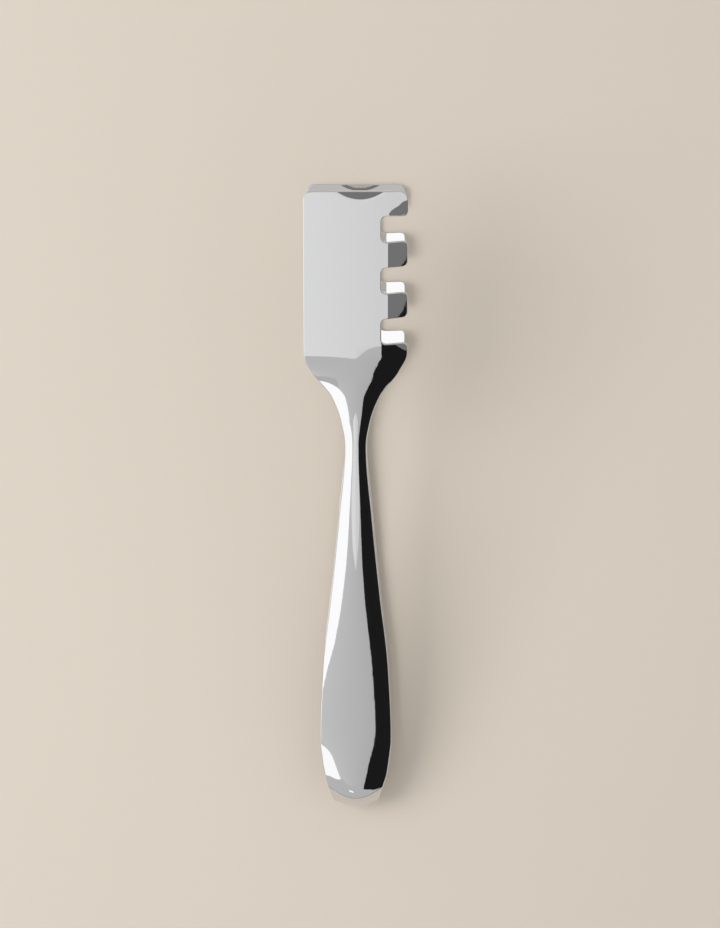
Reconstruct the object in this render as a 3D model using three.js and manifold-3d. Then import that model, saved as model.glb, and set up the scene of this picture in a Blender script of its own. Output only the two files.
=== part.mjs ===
// Serving tongs: two polished steel arms, mirror images of each other, joined by a spring bow.
// Millimetres, +Z up. The lower arm lies on the table, +Y runs from the bow to the tips and +X is
// the toothed side. The origin lies on the table, under the middle of the object's box.

import * as THREE from "three";
import { mergeVertices } from "three/addons/utils/BufferGeometryUtils.js";
import Module from "manifold-3d";

const wasm = await Module();
wasm.setup();

// Driving dimensions: the bow

const openingAngle = THREE.MathUtils.degToRad(14.7); // between the arms when nobody holds them
const bowRadius = 10; // outside, along the middle of the strip
const bowThickness = 1.6;
const bowEdge = 1.3; // thickness at the long edges
const bowCrown = 1.7; // how far the middle of the strip stands out past its edges, at the apex
const bowApexWidth = 17.6;
const seamWidth = 22.4; // where the bow meets an arm
const seamCrown = 3.4; // at its largest, a little inside the bow
const seamCrownOffset = 4; // from the seam to that place
const seamGap = 0.3;

// Driving dimensions: the arm, with every distance measured from the seam

const bellyDistance = 20; // to the widest place of the handle
const handleWidth = 28.4;
const handleThickness = 2.6;
const handleEdge = 1.35;
const handleCrown = 1.92;
const handleCrownOffset = 8; // from the widest place to where the crown reaches this size
const neckDistance = 140;
const neckWidth = 8.6;
const neckThickness = 3.6;
const neckEdge = 2.3;
const neckCrown = 1.37;
const bendLength = 50; // the stretch before the neck in which the arm bends inward
const bendCrown = 2.1; // where that stretch begins
const dipOffset = 10; // from the neck to the deepest place of the bend
const dipDepth = 1.3; // how far it lies inward from the line of handle and head
const shoulderLength = 36.8; // from the neck to the head
const plainCrown = 2.12; // the shoulder's crown on the side without teeth
const toothedCrown = 2.78; // the shoulder's crown on the toothed side
const foldCrown = 3.3; // the same where the crown runs out into the first tooth
const headWidth = 40;
const headThickness = 1.8;
const headCornerRadius = 4;

// Driving dimensions: the teeth along one edge of the head

const slotCount = 3;
const slotWidth = 9.8;
const slotDepth = 10.2;
const toothWidth = 10;
const endToothWidth = 9.8; // the tooth at the tip
const shoulderToothWidth = 4; // the straight part of the tooth that runs into the shoulder
const toothCornerRadius = 2.6;
const slotCornerRadius = 2.2;
const toothTilt = THREE.MathUtils.degToRad(26);
const toothBendRadius = 0.4;
const toothRootFlat = 2.5; // from the bottom of the slots to the start of the bend
const shoulderToothShare = 0.8; // of the full turn, where the first slot begins

// Driving dimensions: the shallow lip in the middle of the tip

const lipLength = 4;
const lipHalfWidth = 10.3;
const lipCentre = 1.8;
const lipDrop = 0.36;

// How the outline swells between its widest and narrowest places, as shares of length and of width

const bowTaper = [[0.5, 0.4]];
const handleSwell = [[0.25, 0.45], [0.5, 0.7]];
const handleTaper = [[0.25, 0.873], [0.5, 0.54], [0.75, 0.24]];
const shoulderFlare = [[0.27, 0.095], [0.53, 0.325], [0.78, 0.775]];

// Where the shoulder's crowns peak and run out, as shares of its length

const plainCrownShare = 0.65;
const plainFlatShare = 0.98;
const toothedCrownShare = 0.68;
const foldShare = 0.87;

// How the end tooth turns back toward the flat tip, as shares of its width and of the full turn

const endToothTurn = [[-0.1, 0], [0.08, 0.16], [0.4, 0.26], [0.75, 0.3]];

// Facets

const armColumns = 16;
const bowColumns = 12;
const bowRows = 20;
const handleRows = 22;
const shoulderRows = 10;
const ridgeShare = 0.5; // the column that follows the start of the teeth's bend
const lipRows = 3;
const outlineStep = 4;
const cornerSteps = 3;
const cutMargin = 0.6; // the slab is this much wider than the outline that trims it
const cutHeight = 20; // how far the trimming prism reaches past the arm, up and down

// Derived places

const headDistance = neckDistance + shoulderLength;
const teethDistance = headDistance + shoulderToothWidth;
const teethLength = endToothWidth + slotCount * slotWidth + (slotCount - 1) * toothWidth;
const tipDistance = teethDistance + teethLength;
const bowSpan = Math.PI - openingAngle;
const bowApexDistance = (-bowRadius * bowSpan) / 2;
const slotBottom = headWidth / 2 - slotDepth;
const firstToothDistance = teethDistance + slotWidth;
const endToothDistance = tipDistance - endToothWidth;
const lastSlotDistance = endToothDistance - slotWidth;
const handleCrownDistance = bellyDistance + handleCrownOffset;
const bendDistance = neckDistance - bendLength;
const dipDistance = neckDistance + dipOffset;
const plainCrownDistance = neckDistance + shoulderLength * plainCrownShare;
const plainFlatDistance = neckDistance + shoulderLength * plainFlatShare;
const toothedCrownDistance = neckDistance + shoulderLength * toothedCrownShare;
const foldDistance = neckDistance + shoulderLength * foldShare;
const overallLength = bowRadius + tipDistance;

// A curve through [place, value] pairs that is level at both ends and never overshoots a pair
function smoothThrough(pairs) {
  const spans = pairs.slice(1).map(([place], i) => place - pairs[i][0]);
  const rises = pairs.slice(1).map(([, value], i) => (value - pairs[i][1]) / spans[i]);
  const slopes = pairs.map((_, i) => {
    const before = rises[i - 1] ?? 0;
    const after = rises[i] ?? 0;
    return before * after > 0 ? (2 * before * after) / (before + after) : 0;
  });
  return (place) => {
    const last = spans.length - 1;
    const found = pairs.findIndex(([next], i) => i > 0 && place < next);
    const i = found < 0 ? last : found - 1;
    const t = THREE.MathUtils.clamp((place - pairs[i][0]) / spans[i], 0, 1);
    const ease = t * t * (3 - 2 * t);
    const start = slopes[i] * spans[i] * t * (1 - t) * (1 - t);
    const end = slopes[i + 1] * spans[i] * t * t * (t - 1);
    return pairs[i][1] * (1 - ease) + pairs[i + 1][1] * ease + start + end;
  };
}

function between(from, to, shares, low, high) {
  return shares.map(([along, across]) => [from + (to - from) * along, low + (high - low) * across]);
}

// Widths and sections along the strip, from the bow's apex to the tip

const halfWidthAt = smoothThrough([
  [bowApexDistance, bowApexWidth / 2],
  ...between(bowApexDistance, 0, bowTaper, bowApexWidth / 2, seamWidth / 2),
  [0, seamWidth / 2],
  ...between(0, bellyDistance, handleSwell, seamWidth / 2, handleWidth / 2),
  [bellyDistance, handleWidth / 2],
  ...between(bellyDistance, neckDistance, handleTaper, neckWidth / 2, handleWidth / 2),
  [neckDistance, neckWidth / 2],
  ...between(neckDistance, headDistance, shoulderFlare, neckWidth / 2, headWidth / 2),
  [headDistance, headWidth / 2],
]);

const dipAt = smoothThrough([
  [bendDistance, 0],
  [dipDistance, dipDepth],
  [teethDistance, 0],
]);

const crowns = [
  [bowApexDistance, bowCrown],
  [-seamCrownOffset, seamCrown],
  [handleCrownDistance, handleCrown],
  [bendDistance, bendCrown],
  [neckDistance, neckCrown],
  [dipDistance, neckCrown],
];

const plainCrownAt = smoothThrough([
  ...crowns,
  [plainCrownDistance, plainCrown],
  [plainFlatDistance, 0],
]);

const toothedCrownAt = smoothThrough([
  ...crowns,
  [toothedCrownDistance, toothedCrown],
  [foldDistance, foldCrown],
]);

const crownFadeAt = smoothThrough([
  [foldDistance, 1],
  [teethDistance, 0],
]);

const thicknessAt = smoothThrough([
  [0, bowThickness],
  [bellyDistance, handleThickness],
  [neckDistance, neckThickness],
  [headDistance, headThickness],
]);

const edgeAt = smoothThrough([
  [0, bowEdge],
  [bellyDistance, handleEdge],
  [neckDistance, neckEdge],
  [headDistance, headThickness],
]);

const endToothPairs = between(endToothDistance, tipDistance, endToothTurn, 0, 1);

const toothShareAt = smoothThrough([
  [foldDistance, 0],
  [teethDistance, shoulderToothShare],
  [firstToothDistance, 1],
  [lastSlotDistance, 1],
  ...endToothPairs,
]);

const toothBendAt = smoothThrough([
  [teethDistance, slotBottom],
  [firstToothDistance, slotBottom + toothRootFlat],
]);

// How far the toothed edge has turned inward: an arc, then a straight
function toothTurn(x, place) {
  const run = Math.max(0, x - toothBendAt(place));
  const arcRun = Math.min(run, toothBendRadius * Math.sin(toothTilt));
  const arc = toothBendRadius - Math.sqrt(toothBendRadius ** 2 - arcRun ** 2);
  return toothShareAt(place) * (arc + (run - arcRun) * Math.tan(toothTilt));
}

// How far the lip has turned inward: deepest at the edge of the tip, in the middle
function lipTurn(x, place) {
  const reach = lipLength * (1 - ((x - lipCentre) / lipHalfWidth) ** 2);
  const depth = Math.max(0, reach - (tipDistance - place));
  return lipDrop * (depth / lipLength) ** 2;
}

// Height of the outside and inside above the line that the arm rests on
function stripHeights(x, place) {
  const across = (x / halfWidthAt(place)) ** 2;
  const toothed = toothedCrownAt(place) * crownFadeAt(place);
  const crown = x < 0 ? plainCrownAt(place) : toothed;
  const outside = dipAt(place) + crown * across + toothTurn(x, place) + lipTurn(x, place);
  const thickness = thicknessAt(place);
  return [outside, outside + thickness - (thickness - edgeAt(place)) * across];
}

function spaced(from, to, count) {
  return Array.from({ length: count }, (_, i) => from + ((to - from) * i) / count);
}

// A closed solid made from a geometry whose shared corners are still apart
function solidFrom(geometry) {
  geometry.deleteAttribute("normal");
  geometry.deleteAttribute("uv");
  const merged = mergeVertices(geometry);
  const vertProperties = new Float32Array(merged.attributes.position.array);
  const triVerts = new Uint32Array(merged.index.array);
  return new wasm.Manifold(new wasm.Mesh({ numProp: 3, vertProperties, triVerts }));
}

function geometryFrom(solid) {
  const { vertProperties, triVerts } = solid.getMesh();
  const geometry = new THREE.BufferGeometry();
  geometry.setAttribute("position", new THREE.BufferAttribute(vertProperties, 3));
  geometry.setIndex(new THREE.BufferAttribute(triVerts, 1));
  return geometry;
}

// A box of facets with every corner moved by a rule: share across, row and side give a place
function bentBox(columns, rows, rule) {
  const box = new THREE.BoxGeometry(2, rows, 2, columns, rows, 1);
  const corners = box.attributes.position;
  for (let i = 0; i < corners.count; i += 1) {
    const row = Math.round(corners.getY(i) + rows / 2);
    corners.setXYZ(i, ...rule(corners.getX(i), row, corners.getZ(i) > 0));
  }
  return box;
}

// The outline seen from above, with rounded teeth, slots and head corners
function armOutline() {
  const start = seamGap;
  const sideCount = Math.round((headDistance - start) / outlineStep);
  const side = spaced(start, headDistance, sideCount).map((place) => [halfWidthAt(place), place, 0]);
  const edge = headWidth / 2;
  const teeth = [];
  for (let i = 0; i < slotCount; i += 1) {
    const near = teethDistance + i * (slotWidth + toothWidth);
    const far = near + slotWidth;
    teeth.push(
      [edge, near, toothCornerRadius],
      [slotBottom, near, slotCornerRadius],
      [slotBottom, far, slotCornerRadius],
      [edge, far, toothCornerRadius],
    );
  }
  const tip = [
    [edge, tipDistance, headCornerRadius],
    [-edge, tipDistance, headCornerRadius],
    [-edge, headDistance, 0],
  ];
  const otherSide = side.map(([x, place]) => [-x, place, 0]).reverse();
  return roundedShape([...side, ...teeth, ...tip, ...otherSide]);
}

// A closed shape through corners, each rounded by its own radius
function roundedShape(corners) {
  const shape = new THREE.Shape();
  corners.forEach(([x, y, radius], i) => {
    const corner = new THREE.Vector2(x, y);
    const before = new THREE.Vector2(...corners.at(i - 1)).sub(corner);
    const after = new THREE.Vector2(...corners[(i + 1) % corners.length]).sub(corner);
    const room = Math.min(before.length(), after.length()) / 2;
    const cut = Math.min(radius, room);
    const entry = before.setLength(cut).add(corner);
    const exit = after.setLength(cut).add(corner);
    if (i === 0) {
      shape.moveTo(entry.x, entry.y);
    } else {
      shape.lineTo(entry.x, entry.y);
    }
    if (cut > 0) {
      shape.quadraticCurveTo(x, y, exit.x, exit.y);
    }
  });
  return shape;
}

// A place across the arm, with one column of facets along the start of the teeth's bend
function acrossArm(share, place) {
  const reach = halfWidthAt(place) + cutMargin;
  if (share < 0 || place < headDistance) {
    return share * reach;
  }
  const ridge = toothBendAt(place);
  if (share < ridgeShare) {
    return (ridge * share) / ridgeShare;
  }
  return ridge + ((reach - ridge) * (share - ridgeShare)) / (1 - ridgeShare);
}

// The lower arm, with the bow's centre as its origin
function armGeometry() {
  const places = [
    ...spaced(seamGap - cutMargin, neckDistance, handleRows),
    ...spaced(neckDistance, headDistance, shoulderRows),
    headDistance,
    teethDistance,
    firstToothDistance,
    lastSlotDistance,
    ...endToothPairs.map(([place]) => place),
    ...spaced(tipDistance - lipLength, tipDistance, lipRows),
    tipDistance,
    tipDistance + cutMargin,
  ].sort((a, b) => a - b);
  const slab = bentBox(armColumns, places.length - 1, (share, row, isInside) => {
    const place = places[row];
    const x = acrossArm(share, place);
    const [outside, inside] = stripHeights(x, place);
    return [x, place, isInside ? inside : outside];
  });
  const depth = 2 * cutHeight;
  const prism = new THREE.ExtrudeGeometry(armOutline(), {
    depth,
    curveSegments: cornerSteps,
    bevelEnabled: false,
  });
  prism.translate(0, 0, -cutHeight);
  const arm = geometryFrom(solidFrom(slab).intersect(solidFrom(prism)));
  return arm.translate(0, 0, -bowRadius);
}

// The same arm as its mirror image, with its facets still facing out
function mirroredGeometry(geometry) {
  const mirrored = geometry.clone().scale(1, 1, -1);
  const order = mirrored.index.array;
  for (let i = 0; i < order.length; i += 3) {
    [order[i], order[i + 1]] = [order[i + 1], order[i]];
  }
  return mirrored;
}

// The bow: the crowned strip bent round from the lower seam to the upper one
function bowGeometry() {
  const bow = bentBox(bowColumns, bowRows, (share, row, isInside) => {
    const angle = bowSpan * (1 - row / bowRows);
    const fromApex = Math.abs(angle - bowSpan / 2) * bowRadius;
    const place = bowApexDistance + fromApex;
    const x = share * halfWidthAt(place);
    const [outside, inside] = stripHeights(x, place);
    const radius = bowRadius - (isInside ? inside : outside);
    return [x, -radius * Math.sin(angle), -radius * Math.cos(angle)];
  });
  return geometryFrom(solidFrom(bow));
}

function steelMesh(name, geometry, roughness) {
  const material = new THREE.MeshStandardMaterial({ color: 0xc9cacb, roughness, metalness: 1 });
  const mesh = new THREE.Mesh(geometry, material);
  mesh.name = name;
  return mesh;
}

const polishedRoughness = 0.06;
const armShape = armGeometry();

const lowerArm = steelMesh("lower_arm", armShape, polishedRoughness);
const springBow = steelMesh("spring_bow", bowGeometry(), polishedRoughness);
const upperArm = steelMesh("upper_arm", mirroredGeometry(armShape), polishedRoughness);

const raisedSide = new THREE.Group();
raisedSide.rotation.x = openingAngle;
raisedSide.add(upperArm);

const aroundBow = new THREE.Group();
aroundBow.position.set(0, bowRadius - overallLength / 2, bowRadius);
aroundBow.add(lowerArm, springBow, raisedSide);

const tongs = new THREE.Group();
tongs.add(aroundBow);

export default tongs;
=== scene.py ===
"""Serving tongs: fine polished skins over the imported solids, in a soft studio of plain panels.

Sizes are in millimetres, in the object's own frame, and become metres where a mesh is made.
A distance along an arm is measured from the seam between arm and bow: the bow lies at negative
distances, the tip at the largest one. Heights are measured from the line that an arm rests on.
"""

import math

import bpy
import numpy as np
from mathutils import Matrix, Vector
from mathutils.geometry import delaunay_2d_cdt


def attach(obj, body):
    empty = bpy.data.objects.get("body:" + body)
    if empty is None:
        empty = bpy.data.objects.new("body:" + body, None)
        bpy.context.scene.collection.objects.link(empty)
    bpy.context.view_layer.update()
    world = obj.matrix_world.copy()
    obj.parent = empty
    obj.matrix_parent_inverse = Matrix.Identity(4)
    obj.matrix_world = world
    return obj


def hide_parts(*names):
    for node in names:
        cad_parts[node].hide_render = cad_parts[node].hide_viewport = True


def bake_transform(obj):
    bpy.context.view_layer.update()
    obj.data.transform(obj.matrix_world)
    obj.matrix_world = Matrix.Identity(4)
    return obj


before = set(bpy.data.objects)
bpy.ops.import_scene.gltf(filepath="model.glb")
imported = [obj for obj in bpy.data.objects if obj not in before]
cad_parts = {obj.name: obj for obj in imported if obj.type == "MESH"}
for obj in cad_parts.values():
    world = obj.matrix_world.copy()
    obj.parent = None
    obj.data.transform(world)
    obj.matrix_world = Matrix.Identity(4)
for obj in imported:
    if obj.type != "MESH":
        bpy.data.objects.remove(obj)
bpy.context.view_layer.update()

MM = 0.001

# Sizes of the bow

OPENING_ANGLE = math.radians(14.7)
BOW_RADIUS = 10.0
BOW_THICKNESS = 1.6
BOW_EDGE = 1.3
BOW_CROWN = 1.7
BOW_APEX_WIDTH = 17.6
SEAM_WIDTH = 22.4
SEAM_CROWN = 3.4
SEAM_CROWN_DISTANCE = -4.0

# Sizes of an arm

BELLY_DISTANCE = 20.0
HANDLE_WIDTH = 28.4
HANDLE_THICKNESS = 2.6
HANDLE_EDGE = 1.35
HANDLE_CROWN = 1.92
HANDLE_CROWN_DISTANCE = 28.0
STRAIGHT_DISTANCE = 90.0
STRAIGHT_CROWN = 2.1
NECK_DISTANCE = 140.0
NECK_WIDTH = 8.6
NECK_THICKNESS = 3.6
NECK_EDGE = 2.3
NECK_CROWN = 1.37
DIP_DISTANCE = 150.0
DIP_DEPTH = 1.3
SHOULDER_LENGTH = 36.8
PLAIN_CROWN = 2.12
PLAIN_CROWN_SHARE = 0.65
PLAIN_FLAT_SHARE = 0.98
TOOTHED_CROWN = 2.78
TOOTHED_CROWN_SHARE = 0.68
FOLD_CROWN = 3.3
FOLD_SHARE = 0.87
HEAD_WIDTH = 40.0
HEAD_THICKNESS = 1.8
HEAD_CORNER_RADIUS = 4.0
EDGE_RADIUS = 0.45

# Sizes of the teeth and of the lip at the tip

SLOT_COUNT = 3
SLOT_WIDTH = 9.8
SLOT_DEPTH = 10.2
TOOTH_WIDTH = 10.0
END_TOOTH_WIDTH = 9.8
SHOULDER_TOOTH_WIDTH = 4.0
TOOTH_CORNER_RADIUS = 2.6
SLOT_CORNER_RADIUS = 2.2
TOOTH_TILT = math.radians(26)
TOOTH_BEND_RADIUS = 0.4
TOOTH_ROOT_FLAT = 2.5
SHOULDER_TOOTH_SHARE = 0.8
LIP_LENGTH = 4.0
LIP_HALF_WIDTH = 10.3
LIP_CENTRE = 1.8
LIP_DROP = 0.36

# How the outline swells between its widest and narrowest places: shares of length and of width

END_TOOTH_TURN = [(-0.1, 0), (0.08, 0.16), (0.4, 0.26), (0.75, 0.3)]
BOW_TAPER = [(0.5, 0.4)]
HANDLE_SWELL = [(0.25, 0.45), (0.5, 0.7)]
HANDLE_TAPER = [(0.25, 0.873), (0.5, 0.54), (0.75, 0.24)]
SHOULDER_FLARE = [(0.27, 0.095), (0.53, 0.325), (0.78, 0.775)]

# Fineness of the meshes

OUTLINE_STEP = 0.55
ROW_STEP = 0.7
COLUMNS = 48
BEND_MARGIN = 0.12
BEND_ROOM = 0.45
EDGE_STEPS = 5
CORNER_STEPS = 12
BOW_ROWS = 40
SLOPE_STEP = 0.02

# Derived places

HEAD_DISTANCE = NECK_DISTANCE + SHOULDER_LENGTH
TEETH_DISTANCE = HEAD_DISTANCE + SHOULDER_TOOTH_WIDTH
TEETH_LENGTH = END_TOOTH_WIDTH + SLOT_COUNT * SLOT_WIDTH + (SLOT_COUNT - 1) * TOOTH_WIDTH
TIP_DISTANCE = TEETH_DISTANCE + TEETH_LENGTH
SLOT_BOTTOM = HEAD_WIDTH / 2 - SLOT_DEPTH
FIRST_TOOTH_DISTANCE = TEETH_DISTANCE + SLOT_WIDTH
LAST_SLOT_DISTANCE = TIP_DISTANCE - END_TOOTH_WIDTH - SLOT_WIDTH
PLAIN_CROWN_DISTANCE = NECK_DISTANCE + SHOULDER_LENGTH * PLAIN_CROWN_SHARE
TOOTHED_CROWN_DISTANCE = NECK_DISTANCE + SHOULDER_LENGTH * TOOTHED_CROWN_SHARE
PLAIN_FLAT_DISTANCE = NECK_DISTANCE + SHOULDER_LENGTH * PLAIN_FLAT_SHARE
FOLD_DISTANCE = NECK_DISTANCE + SHOULDER_LENGTH * FOLD_SHARE
HALF_BOW = BOW_RADIUS * (math.pi - OPENING_ANGLE) / 2
OVERALL_LENGTH = BOW_RADIUS + TIP_DISTANCE
BOW_CENTRE = np.array([0.0, BOW_RADIUS - OVERALL_LENGTH / 2, BOW_RADIUS])


# The arm's form

def smooth_through(pairs):
    """A curve through (place, value) pairs that is level at both ends and never overshoots a pair."""
    places = np.array([place for place, _ in pairs], float)
    values = np.array([value for _, value in pairs], float)
    spans = np.diff(places)
    rises = np.diff(values) / spans
    slopes = np.zeros(len(pairs))
    for i in range(1, len(pairs) - 1):
        before, after = rises[i - 1], rises[i]
        if before * after > 0:
            slopes[i] = 2 * before * after / (before + after)

    def curve(place):
        i = np.clip(np.searchsorted(places, place, side="right") - 1, 0, len(spans) - 1)
        t = np.clip((place - places[i]) / spans[i], 0, 1)
        ease = t * t * (3 - 2 * t)
        start = slopes[i] * spans[i] * t * (1 - t) ** 2
        end = slopes[i + 1] * spans[i] * t * t * (t - 1)
        return values[i] * (1 - ease) + values[i + 1] * ease + start + end

    return curve


def between(start, end, shares, low, high):
    return [(start + (end - start) * along, low + (high - low) * across) for along, across in shares]


half_width_at = smooth_through(
    [(-HALF_BOW, BOW_APEX_WIDTH / 2)]
    + between(-HALF_BOW, 0, BOW_TAPER, BOW_APEX_WIDTH / 2, SEAM_WIDTH / 2)
    + [(0, SEAM_WIDTH / 2)]
    + between(0, BELLY_DISTANCE, HANDLE_SWELL, SEAM_WIDTH / 2, HANDLE_WIDTH / 2)
    + [(BELLY_DISTANCE, HANDLE_WIDTH / 2)]
    + between(BELLY_DISTANCE, NECK_DISTANCE, HANDLE_TAPER, NECK_WIDTH / 2, HANDLE_WIDTH / 2)
    + [(NECK_DISTANCE, NECK_WIDTH / 2)]
    + between(NECK_DISTANCE, HEAD_DISTANCE, SHOULDER_FLARE, NECK_WIDTH / 2, HEAD_WIDTH / 2)
    + [(HEAD_DISTANCE, HEAD_WIDTH / 2)])
dip_at = smooth_through([(STRAIGHT_DISTANCE, 0), (DIP_DISTANCE, DIP_DEPTH), (TEETH_DISTANCE, 0)])
crowns = [(-HALF_BOW, BOW_CROWN), (SEAM_CROWN_DISTANCE, SEAM_CROWN),
          (HANDLE_CROWN_DISTANCE, HANDLE_CROWN), (STRAIGHT_DISTANCE, STRAIGHT_CROWN),
          (NECK_DISTANCE, NECK_CROWN), (DIP_DISTANCE, NECK_CROWN)]
plain_crown_at = smooth_through(crowns + [(PLAIN_CROWN_DISTANCE, PLAIN_CROWN), (PLAIN_FLAT_DISTANCE, 0)])
toothed_crown_at = smooth_through(
    crowns + [(TOOTHED_CROWN_DISTANCE, TOOTHED_CROWN), (FOLD_DISTANCE, FOLD_CROWN)])
thickness_at = smooth_through(
    [(0, BOW_THICKNESS), (BELLY_DISTANCE, HANDLE_THICKNESS), (NECK_DISTANCE, NECK_THICKNESS),
     (HEAD_DISTANCE, HEAD_THICKNESS)])
edge_at = smooth_through(
    [(0, BOW_EDGE), (BELLY_DISTANCE, HANDLE_EDGE), (NECK_DISTANCE, NECK_EDGE),
     (HEAD_DISTANCE, HEAD_THICKNESS)])
crown_fade_at = smooth_through([(FOLD_DISTANCE, 1), (TEETH_DISTANCE, 0)])
tooth_share_at = smooth_through(
    [(FOLD_DISTANCE, 0), (TEETH_DISTANCE, SHOULDER_TOOTH_SHARE), (FIRST_TOOTH_DISTANCE, 1),
     (LAST_SLOT_DISTANCE, 1)]
    + between(TIP_DISTANCE - END_TOOTH_WIDTH, TIP_DISTANCE, END_TOOTH_TURN, 0, 1))
tooth_bend_at = smooth_through(
    [(TEETH_DISTANCE, SLOT_BOTTOM), (FIRST_TOOTH_DISTANCE, SLOT_BOTTOM + TOOTH_ROOT_FLAT)])


def tooth_turn(x, place):
    """How far the toothed edge has turned inward: an arc, then a straight."""
    run = np.maximum(x - tooth_bend_at(place), 0)
    arc_run = TOOTH_BEND_RADIUS * math.sin(TOOTH_TILT)
    arc = TOOTH_BEND_RADIUS - np.sqrt(TOOTH_BEND_RADIUS ** 2 - np.minimum(run, arc_run) ** 2)
    return tooth_share_at(place) * (arc + np.maximum(run - arc_run, 0) * math.tan(TOOTH_TILT))


def lip_turn(x, place):
    """How far the lip has turned inward: deepest at the edge of the tip, in the middle."""
    reach = LIP_LENGTH * (1 - ((x - LIP_CENTRE) / LIP_HALF_WIDTH) ** 2)
    depth = np.maximum(0, reach - (TIP_DISTANCE - place))
    return LIP_DROP * (depth / LIP_LENGTH) ** 2


def outside_height(x, place):
    across = (x / half_width_at(place)) ** 2
    toothed_crown = toothed_crown_at(place) * crown_fade_at(place)
    crown = np.where(x < 0, plain_crown_at(place), toothed_crown) * across
    return dip_at(place) + crown + tooth_turn(x, place) + lip_turn(x, place)


def inside_height(x, place):
    across = (x / half_width_at(place)) ** 2
    thickness = thickness_at(place)
    return outside_height(x, place) + thickness - (thickness - edge_at(place)) * across


def surface_normals(height, x, place, facing):
    """Unit normals of a height function, facing -1 for the outside and +1 for the inside."""
    step = SLOPE_STEP
    across = (height(x + step, place) - height(x - step, place)) / (2 * step)
    along = (height(x, place + step) - height(x, place - step)) / (2 * step)
    normals = np.column_stack([-across, -along, np.ones_like(across)]) * facing
    return normals / np.linalg.norm(normals, axis=1, keepdims=True)


# The outline, seen from above

def rounded_corner(before, corner, after, radius):
    """Points of a corner that a smooth curve rounds off."""
    before, corner, after = (np.array(p, float) for p in (before, corner, after))
    room = min(np.linalg.norm(before - corner), np.linalg.norm(after - corner)) / 2
    cut = min(radius, room)
    entry = corner + (before - corner) / np.linalg.norm(before - corner) * cut
    leave = corner + (after - corner) / np.linalg.norm(after - corner) * cut
    t = np.linspace(0, 1, CORNER_STEPS)[:, None]
    return (1 - t) ** 2 * entry + 2 * t * (1 - t) * corner + t ** 2 * leave


def head_corners():
    """Corners of teeth, slots and tip with their radii, from the shoulder's toothed side round the tip."""
    edge = HEAD_WIDTH / 2
    corners = []
    for i in range(SLOT_COUNT):
        near = TEETH_DISTANCE + i * (SLOT_WIDTH + TOOTH_WIDTH)
        far = near + SLOT_WIDTH
        corners += [
            (edge, near, TOOTH_CORNER_RADIUS),
            (SLOT_BOTTOM, near, SLOT_CORNER_RADIUS),
            (SLOT_BOTTOM, far, SLOT_CORNER_RADIUS),
            (edge, far, TOOTH_CORNER_RADIUS),
        ]
    return corners + [(edge, TIP_DISTANCE, HEAD_CORNER_RADIUS), (-edge, TIP_DISTANCE, HEAD_CORNER_RADIUS)]


def even_spacing(points, step):
    """The same open line with evenly spaced points."""
    lengths = np.linalg.norm(np.diff(points, axis=0), axis=1)
    along = np.concatenate([[0], np.cumsum(lengths)])
    count = int(round(along[-1] / step)) + 1
    wanted = np.linspace(0, along[-1], count)
    return np.column_stack([np.interp(wanted, along, points[:, k]) for k in (0, 1)])


def arm_outline():
    """The open outline from the seam's toothed side round the tip to its plain side, and outward normals."""
    places = np.arange(0, HEAD_DISTANCE, OUTLINE_STEP / 2)
    side = np.column_stack([half_width_at(places), places])
    corners = [tuple(side[-1])] + head_corners() + [(-HEAD_WIDTH / 2, HEAD_DISTANCE)]
    head = [rounded_corner(corners[i - 1][:2], corners[i][:2], corners[i + 1][:2], corners[i][2])
            for i in range(1, len(corners) - 1)]
    other_side = side[::-1] * [-1, 1]
    points = even_spacing(np.vstack([side] + head + [other_side]), OUTLINE_STEP)
    tangents = np.gradient(points, axis=0)
    tangents /= np.linalg.norm(tangents, axis=1, keepdims=True)
    outward = np.column_stack([tangents[:, 1], -tangents[:, 0]])
    outward[0] = (1, 0)
    outward[-1] = (-1, 0)
    return points, outward


# Mesh parts: each is (corners, normals, faces), with the bow's centre as origin

def edge_rings(points, outward):
    """Rings round a rounded edge, from the outside face over the rim to the inside face."""
    rings = []
    angles = np.linspace(math.pi / 2, 0, EDGE_STEPS + 1)
    layers = [(outside_height, -1, angle) for angle in angles]
    layers += [(inside_height, 1, angle) for angle in angles[::-1]]
    for height, facing, angle in layers:
        inset = points - outward * EDGE_RADIUS * (1 - math.cos(angle))
        lift = -facing * EDGE_RADIUS * (1 - math.sin(angle))
        heights = height(inset[:, 0], inset[:, 1]) + lift
        face_normals = surface_normals(height, inset[:, 0], inset[:, 1], facing)
        rim_normals = np.column_stack([outward, np.zeros(len(outward))])
        normals = math.sin(angle) * face_normals + math.cos(angle) * rim_normals
        normals /= np.linalg.norm(normals, axis=1, keepdims=True)
        rings.append((np.column_stack([inset, heights]), normals))
    return rings


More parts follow.
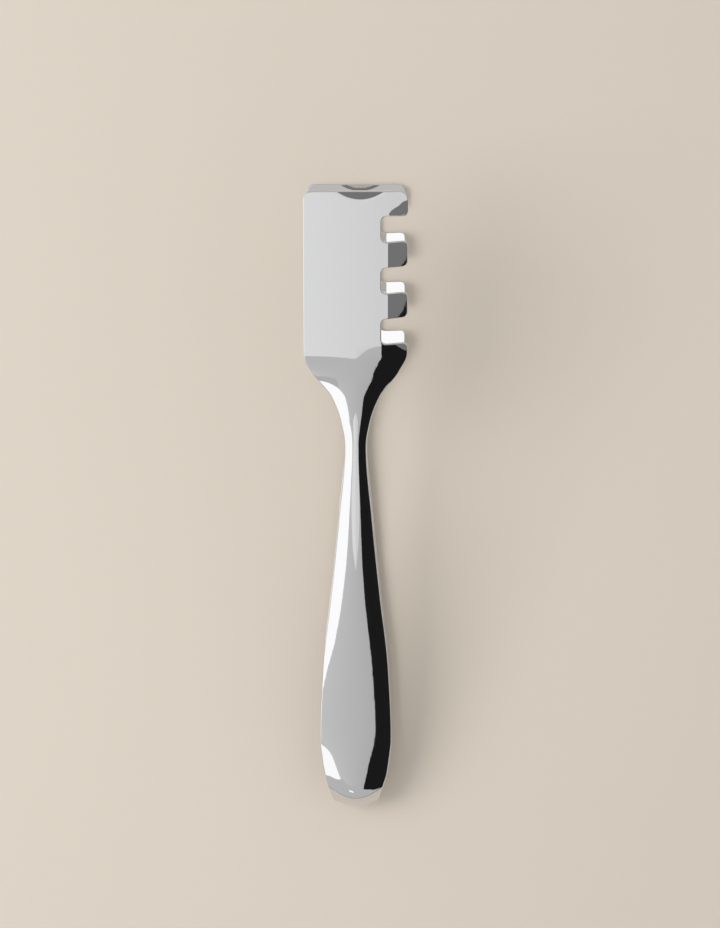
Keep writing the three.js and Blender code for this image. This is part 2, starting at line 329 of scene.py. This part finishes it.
def inside_points(loop):
    """Points in rows across the arm, and along the teeth's bend, that lie well inside a closed loop."""
    rows = np.arange(ROW_STEP, TIP_DISTANCE, ROW_STEP)
    shares = np.linspace(-1, 1, COLUMNS + 1)
    places, across = np.meshgrid(rows, shares, indexing="ij")
    x = across * (half_width_at(places) - EDGE_RADIUS)
    points = np.column_stack([x.ravel(), places.ravel()])
    bend_width = TOOTH_BEND_RADIUS * math.sin(TOOTH_TILT)
    from_bend = points[:, 0] - tooth_bend_at(points[:, 1]) - bend_width / 2
    points = points[(points[:, 1] < HEAD_DISTANCE) | (np.abs(from_bend) > BEND_ROOM)]
    bend_rows = rows[rows > HEAD_DISTANCE]
    for offset in (-BEND_MARGIN, bend_width + BEND_MARGIN):
        line = np.column_stack([tooth_bend_at(bend_rows) + offset, bend_rows])
        points = np.vstack([points, line])
    after = np.roll(loop, -1, axis=0)
    kept = []
    for point in points:
        crosses = (loop[:, 1] > point[1]) != (after[:, 1] > point[1])
        run = (point[1] - loop[crosses, 1]) / (after[crosses, 1] - loop[crosses, 1])
        hits = loop[crosses, 0] + run * (after[crosses, 0] - loop[crosses, 0]) > point[0]
        gap = np.min(np.hypot(loop[:, 0] - point[0], loop[:, 1] - point[1]))
        room = min(OUTLINE_STEP, half_width_at(point[1]) / COLUMNS)
        if hits.sum() % 2 == 1 and gap > room:
            kept.append(point)
    return np.array(kept)


def seam_points():
    """Places across the seam, from the plain side to the toothed side, without its two ends."""
    reach = SEAM_WIDTH / 2 - EDGE_RADIUS
    return np.linspace(-reach, reach, COLUMNS + 1)[1:-1]


def arm_mesh():
    """The lower arm's closed skin."""
    points, outward = arm_outline()
    rings = edge_rings(points, outward)
    ring_size = len(points)
    seam_x = seam_points()
    seam = np.column_stack([seam_x, np.zeros_like(seam_x)])
    loop = np.vstack([points - outward * EDGE_RADIUS, seam])
    filling = inside_points(loop)
    flat = np.vstack([loop, filling])
    made = delaunay_2d_cdt([Vector(p) for p in flat], [], [list(range(len(loop)))], 1, 1e-6)
    origin = [sources[0] for sources in made[3]]
    triangles = [[origin[i] for i in face] for face in made[2]]

    corners = [ring for ring, _ in rings]
    normals = [ring_normals for _, ring_normals in rings]
    ring_count = len(rings)
    added = flat[ring_size:]
    added_count = len(added)
    for height, facing in ((outside_height, -1), (inside_height, 1)):
        corners.append(np.column_stack([added, height(added[:, 0], added[:, 1])]))
        normals.append(surface_normals(height, added[:, 0], added[:, 1], facing))

    def face_corner(i, is_inside):
        """The number of a flat corner on the outside or the inside face."""
        if i < ring_size:
            return (ring_count - 1) * ring_size + i if is_inside else i
        return ring_count * ring_size + added_count * is_inside + i - ring_size

    faces = [[face_corner(i, True) for i in t] for t in triangles]
    faces += [[face_corner(i, False) for i in t[::-1]] for t in triangles]
    for k in range(ring_count - 1):
        for i in range(ring_size - 1):
            a, b = k * ring_size + i, (k + 1) * ring_size + i
            faces.append([a, a + 1, b + 1, b])
    ends = [[k * ring_size + end for k in range(ring_count)] for end in (0, ring_size - 1)]
    seam_numbers = range(ring_size, ring_size + len(seam))
    outside_line = [face_corner(i, False) for i in seam_numbers]
    inside_line = [face_corner(i, True) for i in seam_numbers]
    faces.append(outside_line + ends[0] + inside_line[::-1] + ends[1][::-1])
    corners = np.vstack(corners)
    corners[:, 2] -= BOW_RADIUS
    return corners, np.vstack(normals), faces


def strip_section(place):
    """The strip's rounded section at a place in the bow: across and height, in one closed loop."""
    half = half_width_at(place)
    reach = half - EDGE_RADIUS
    angles = np.linspace(math.pi / 2, 0, EDGE_STEPS + 1)
    rim_x = half - EDGE_RADIUS * (1 - np.cos(angles))
    rim_lift = EDGE_RADIUS * (1 - np.sin(angles))
    flat_x = np.linspace(-reach, reach, COLUMNS + 1)[1:-1]
    across = np.concatenate([flat_x, rim_x, rim_x[::-1], flat_x[::-1], -rim_x, -rim_x[::-1]])
    level = np.zeros_like(flat_x)
    lifts = np.concatenate([level, rim_lift, -rim_lift[::-1], level, -rim_lift, rim_lift[::-1]])
    first_inside = len(flat_x) + len(rim_x)
    is_inside = np.zeros(len(across), bool)
    is_inside[first_inside:-len(rim_x)] = True
    outside = outside_height(across, place)
    inside = inside_height(across, place)
    return across, np.where(is_inside, inside, outside) + lifts


def strip_place(across, heights, place):
    """Where a section's loop lies: straight past the seam, round the bow's centre before it."""
    radius = BOW_RADIUS - heights
    angle = max(0.0, -place / BOW_RADIUS)
    forward = np.full_like(across, max(0.0, place))
    return np.column_stack([across, forward - radius * math.sin(angle), -radius * math.cos(angle)])


def half_bow_mesh():
    """The closed lower half of the bow, from the seam to the apex."""
    step = HALF_BOW / BOW_ROWS
    places = [step * (1 - row) for row in range(BOW_ROWS + 3)]
    grid = np.array([strip_place(*strip_section(place), place) for place in places])
    along = grid[2:] - grid[:-2]
    across = np.roll(grid, -1, axis=1) - np.roll(grid, 1, axis=1)
    normals = np.cross(across[1:-1], along)
    normals /= np.linalg.norm(normals, axis=2, keepdims=True)
    corners = grid[1:-1]
    rows, size = corners.shape[:2]
    faces = []
    for row in range(rows - 1):
        for i in range(size):
            after = (i + 1) % size
            faces.append([row * size + i, row * size + after, (row + 1) * size + after, (row + 1) * size + i])
    faces.append(list(reversed(range(size))))
    faces.append([(rows - 1) * size + i for i in range(size)])
    return corners.reshape(-1, 3), normals.reshape(-1, 3), faces


def mirrored(mesh):
    """The same part on the upper side: its mirror image, turned up by the opening angle."""
    corners, normals, faces = mesh
    flip = np.array([1, 1, -1])
    turn = np.array([
        [1, 0, 0],
        [0, math.cos(OPENING_ANGLE), -math.sin(OPENING_ANGLE)],
        [0, math.sin(OPENING_ANGLE), math.cos(OPENING_ANGLE)],
    ])
    return (corners * flip) @ turn.T, (normals * flip) @ turn.T, [face[::-1] for face in faces]


def add_piece(name, mesh, material):
    corners, normals, faces = mesh
    data = bpy.data.meshes.new(name)
    data.from_pydata(((corners + BOW_CENTRE) * MM).tolist(), [], faces)
    data.update()
    data.shade_smooth()
    data.normals_split_custom_set_from_vertices(normals.tolist())
    data.materials.append(material)
    piece = bpy.data.objects.new(name, data)
    bpy.context.collection.objects.link(piece)
    return piece


# Materials

STEEL_TINT = (0.79, 0.79, 0.8)
SPRING_STEEL_TINT = (0.785, 0.785, 0.79)
POLISH_LINES = (2600, 60, 900)
POLISH_DETAIL = 3.0
POLISH_STRENGTH = 0.012
POLISH_DEPTH = 0.0002
SMUDGE_SCALE = 38.0
SMUDGE_DETAIL = 5.0
SMUDGE_GRAIN = 0.6
SMUDGE_RANGE = (0.45, 0.75)
STEEL_ROUGHNESS = (0.018, 0.05)
FLOOR_DARK_TONE = (0.76, 0.68, 0.585, 1)
FLOOR_LIGHT_TONE = (0.80, 0.72, 0.62, 1)
FLOOR_ROUGHNESS = 0.75
FLOOR_SHINE = 0.2
MOTTLE_SCALE = 30.0
MOTTLE_DETAIL = 4.0


def new_material(name):
    material = bpy.data.materials.new(name)
    material.use_nodes = True
    nodes = material.node_tree.nodes
    return material, nodes, material.node_tree.links, nodes["Principled BSDF"]


def noise(nodes, scale, detail):
    texture = nodes.new("ShaderNodeTexNoise")
    texture.inputs["Scale"].default_value = scale
    texture.inputs["Detail"].default_value = detail
    return texture


def ramp(nodes, places, levels):
    """A node whose result runs from one level at the first place to another at the second."""
    node = nodes.new("ShaderNodeMapRange")
    node.inputs["From Min"].default_value = places[0]
    node.inputs["From Max"].default_value = places[1]
    node.inputs["To Min"].default_value = levels[0]
    node.inputs["To Max"].default_value = levels[1]
    return node


def polished_steel(name, tint):
    """Mirror-polished stainless steel: fine polishing lines and faint smudges."""
    material, nodes, links, shader = new_material(name)
    shader.inputs["Metallic"].default_value = 1.0
    shader.inputs["Base Color"].default_value = (*tint, 1)
    place = nodes.new("ShaderNodeTexCoord")

    smudges = noise(nodes, SMUDGE_SCALE, SMUDGE_DETAIL)
    smudges.inputs["Roughness"].default_value = SMUDGE_GRAIN
    haze = ramp(nodes, SMUDGE_RANGE, STEEL_ROUGHNESS)
    links.new(place.outputs["Object"], smudges.inputs["Vector"])
    links.new(smudges.outputs["Fac"], haze.inputs["Value"])
    links.new(haze.outputs["Result"], shader.inputs["Roughness"])

    stretch = nodes.new("ShaderNodeMapping")
    stretch.inputs["Scale"].default_value = POLISH_LINES
    lines = noise(nodes, 1.0, POLISH_DETAIL)
    bump = nodes.new("ShaderNodeBump")
    bump.inputs["Strength"].default_value = POLISH_STRENGTH
    bump.inputs["Distance"].default_value = POLISH_DEPTH
    links.new(place.outputs["Object"], stretch.inputs["Vector"])
    links.new(stretch.outputs["Vector"], lines.inputs["Vector"])
    links.new(lines.outputs["Fac"], bump.inputs["Height"])
    links.new(bump.outputs["Normal"], shader.inputs["Normal"])
    return material


def floor_material():
    """A plain pale matt surface with a very faint mottle."""
    material, nodes, links, shader = new_material("pale_floor")
    shader.inputs["Roughness"].default_value = FLOOR_ROUGHNESS
    shader.inputs["Specular IOR Level"].default_value = FLOOR_SHINE
    mottle = noise(nodes, MOTTLE_SCALE, MOTTLE_DETAIL)
    tones = nodes.new("ShaderNodeValToRGB")
    tones.color_ramp.elements[0].color = FLOOR_DARK_TONE
    tones.color_ramp.elements[1].color = FLOOR_LIGHT_TONE
    links.new(mottle.outputs["Fac"], tones.inputs["Fac"])
    links.new(tones.outputs["Color"], shader.inputs["Base Color"])
    return material


def panel_material(name, places, levels):
    """A panel whose glow runs from one level at a place on the left to another on the right."""
    material = bpy.data.materials.new(name)
    material.use_nodes = True
    nodes = material.node_tree.nodes
    links = material.node_tree.links
    nodes.clear()
    place = nodes.new("ShaderNodeTexCoord")
    split = nodes.new("ShaderNodeSeparateXYZ")
    level = ramp(nodes, places, levels)
    glow = nodes.new("ShaderNodeEmission")
    out = nodes.new("ShaderNodeOutputMaterial")
    links.new(place.outputs["Object"], split.inputs["Vector"])
    links.new(split.outputs["X"], level.inputs["Value"])
    links.new(level.outputs["Result"], glow.inputs["Strength"])
    links.new(glow.outputs["Emission"], out.inputs["Surface"])
    return material


# The studio: panels and cards that only the polished steel shows, placed for the camera below so that
# their mirror images are the steel's light, grey, white and black fields. A lower one hides what is
# above it. Heights are in metres, and corners are given for one metre of height.

FAR = 15.0
STEP = 0.001
NEAR = 0.45
SHOULDER = 0.15
CLOSE = 0.1
LOW = 0.06

WHITE = 1.22
PATCH_WHITE = 1.2
DIM = 0.52
DARK = 0.205
BLACK = 0.012


def even(level):
    """A ramp that keeps one level."""
    return (level, -1), (level, 1)


PANELS = [
    # name, height, level and place of the ramp's left end and right end, corners
    ("middle_panel", FAR, ((0.667, -0.8), (0.51, 0.4)), [
        (-0.8, -4), (0.4, -4), (0.4, -0.5), (-0.8, -0.5)]),
    ("dim_panel", FAR - STEP, even(DIM), [(-0.3, -1), (-0.9, -2.8), (-1.5, -3.8), (-0.5, -1)]),
    ("dark_wall", FAR - 2 * STEP, even(DARK), [(-0.5, -0.44), (3, -0.44), (3, 0), (-0.5, 0)]),
    ("light_panel", FAR - 3 * STEP, ((0.86, -0.022), (0.76, 0.014)), [
        (0, -0.61), (0.42, -0.46), (0.42, -0.36), (0.3, -0.36), (0.22, -0.42), (0.14, -0.42), (0.1, -0.36),
        (-0.5, -0.36), (-0.5, -0.46)]),
    ("black_panel", FAR - 4 * STEP, even(BLACK), [
        (0.36, -0.4), (0.36, -0.72), (0.41, -0.84), (0.35, -1.1), (0.8, -2.6), (2, -2.6), (2.7, -1.6),
        (2.7, -0.4)]),
    ("white_panel", NEAR, even(WHITE), [
        (-0.43, 1.3), (-0.43, -0.45), (-0.54, -0.72), (-0.8, -0.9), (-3.5, -2.3), (-3.5, 1.3)]),
    ("shoulder_card", SHOULDER, even(WHITE), [
        (-1.15, -2.2), (-0.6, -0.9), (-0.42, -0.45), (-0.27, -0.2), (-8, -0.2), (-8, -2.2)]),
    ("first_tooth_card", CLOSE, even(DARK), [
        (0.3, 0.68), (0.6, 0.68), (0.63, 0.71), (0.65, 0.95), (0.3, 0.95)]),
    ("second_tooth_card", CLOSE, even(DARK), [
        (0.3, 0.45), (0.66, 0.45), (0.69, 0.48), (0.72, 0.62), (0.3, 0.62)]),
    ("end_card", CLOSE, even(PATCH_WHITE), [
        (-0.57, -1.95), (-0.65, -1.8), (-0.85, -1.85), (-5, -5.7), (-5, -8), (-0.55, -2.2)]),
    ("corner_card", CLOSE, even(BLACK), [
        (1.5, -2.4), (4, -4.4), (14, -14), (14, -16), (3.4, -4.8), (1.4, -3)]),
    ("front_card", LOW, ((0.56, -1), (0.53, 1)), [
        (-12, -11), (-3.5, -4.7), (-1.2, -2.95), (-0.5, -2.5), (0.1, -2.4), (0.8, -2.95), (2.5, -4.85),
        (8.6, -12), (8.6, -20), (-12, -20)]),
    ("glint_card", LOW - STEP, even(PATCH_WHITE), [
        (-0.35, -2.85), (-0.27, -2.65), (-0.1, -2.85), (-0.15, -3.1)]),
]


def flat_piece(name, corners, height, material):
    """A level polygon that belongs to the studio."""
    data = bpy.data.meshes.new(name)
    data.from_pydata([(x, y, height) for x, y in corners], [], [list(range(len(corners)))])
    data.materials.append(material)
    piece = bpy.data.objects.new(name, data)
    bpy.context.collection.objects.link(piece)
    return piece


def build_panels():
    for name, height, ((left_level, left), (right_level, right)), shares in PANELS:
        corners = [(x * height, y * height) for x, y in shares]
        material = panel_material(name, (left * height, right * height), (left_level, right_level))
        panel = flat_piece(name, corners, height, material)
        panel.visible_camera = False
        panel.visible_diffuse = False
        panel.visible_shadow = False


# The room: a floor, one soft lamp and the light from all round. Directions are parts of a unit vector.

FLOOR_REACH = 6.0
LAMP_PLACE = (-1.0, 0.1, 1.1)
LAMP_SIZE = 0.9
LAMP_POWER = 9.0
LEFT_LEVEL = 1.1
ROOM_LEVEL = 0.6
LEFT_DIRECTION = -0.9
ROOM_DIRECTION = -0.7
DIM_HEIGHT = 0.35
FLOOR_SHARE = 0.35
BACKDROP = (0.58, 0.52, 0.45, 1)


def build_room():
    reach = FLOOR_REACH
    corners = [(-reach, -reach), (reach, -reach), (reach, reach), (-reach, reach)]
    flat_piece("floor", corners, 0, floor_material())
    key = bpy.data.lights.new("key_lamp", "AREA")
    key.shape = "RECTANGLE"
    key.size = LAMP_SIZE
    key.size_y = LAMP_SIZE
    key.energy = LAMP_POWER
    lamp = bpy.data.objects.new("key_lamp", key)
    lamp.location = LAMP_PLACE
    lamp.rotation_euler = Vector(LAMP_PLACE).to_track_quat("Z", "Y").to_euler()
    lamp.visible_glossy = False
    lamp.visible_camera = False
    bpy.context.collection.objects.link(lamp)


def build_world():
    """Soft light from all round, brighter on the left and dimmer near the floor, and a pale backdrop."""
    world = bpy.data.worlds.new("room")
    bpy.context.scene.world = world
    world.use_nodes = True
    nodes = world.node_tree.nodes
    links = world.node_tree.links
    room = nodes["Background"]
    room.inputs["Color"].default_value = (1, 1, 1, 1)
    direction = nodes.new("ShaderNodeTexCoord")
    split = nodes.new("ShaderNodeSeparateXYZ")
    across = ramp(nodes, (LEFT_DIRECTION, ROOM_DIRECTION), (LEFT_LEVEL, ROOM_LEVEL))
    rise = ramp(nodes, (0.0, DIM_HEIGHT), (FLOOR_SHARE, 1.0))
    level = nodes.new("ShaderNodeMath")
    level.operation = "MULTIPLY"
    links.new(direction.outputs["Generated"], split.inputs["Vector"])
    links.new(split.outputs["X"], across.inputs["Value"])
    links.new(split.outputs["Z"], rise.inputs["Value"])
    links.new(across.outputs["Result"], level.inputs[0])
    links.new(rise.outputs["Result"], level.inputs[1])
    links.new(level.outputs["Value"], room.inputs["Strength"])
    backdrop = nodes.new("ShaderNodeBackground")
    backdrop.inputs["Color"].default_value = BACKDROP
    rays = nodes.new("ShaderNodeLightPath")
    mix = nodes.new("ShaderNodeMixShader")
    links.new(rays.outputs["Is Camera Ray"], mix.inputs["Fac"])
    links.new(room.outputs["Background"], mix.inputs[1])
    links.new(backdrop.outputs["Background"], mix.inputs[2])
    links.new(mix.outputs["Shader"], nodes["World Output"].inputs["Surface"])


# The camera looks straight down, as the photograph does

CAMERA_PLACE = (1.68, 11.76, 1150.0)
PIXELS_PER_MM = 2.4687
PICTURE_HEIGHT = 928
SENSOR = 36.0


def build_camera():
    data = bpy.data.cameras.new("camera")
    data.sensor_width = SENSOR
    data.lens = PIXELS_PER_MM * CAMERA_PLACE[2] * SENSOR / PICTURE_HEIGHT
    camera = bpy.data.objects.new("camera", data)
    camera.location = np.array(CAMERA_PLACE) * MM
    bpy.context.collection.objects.link(camera)
    bpy.context.scene.camera = camera


def build_tongs():
    arm_steel = polished_steel("polished_steel", STEEL_TINT)
    bow_steel = polished_steel("polished_spring_steel", SPRING_STEEL_TINT)
    arm = arm_mesh()
    half_bow = half_bow_mesh()
    lower = add_piece("lower_arm_skin", arm, arm_steel)
    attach(lower, "lower_arm")
    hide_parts("lower_arm")
    upper = add_piece("upper_arm_skin", mirrored(arm), arm_steel)
    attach(upper, "upper_arm")
    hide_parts("upper_arm")
    lower_bow = add_piece("spring_bow_lower_half", half_bow, bow_steel)
    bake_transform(lower_bow)
    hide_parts("spring_bow")
    upper_bow = add_piece("spring_bow_upper_half", mirrored(half_bow), bow_steel)
    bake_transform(upper_bow)
    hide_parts("spring_bow")


build_camera()
build_panels()
build_room()
build_world()
build_tongs()
bpy.context.scene.view_settings.view_transform = "Standard"
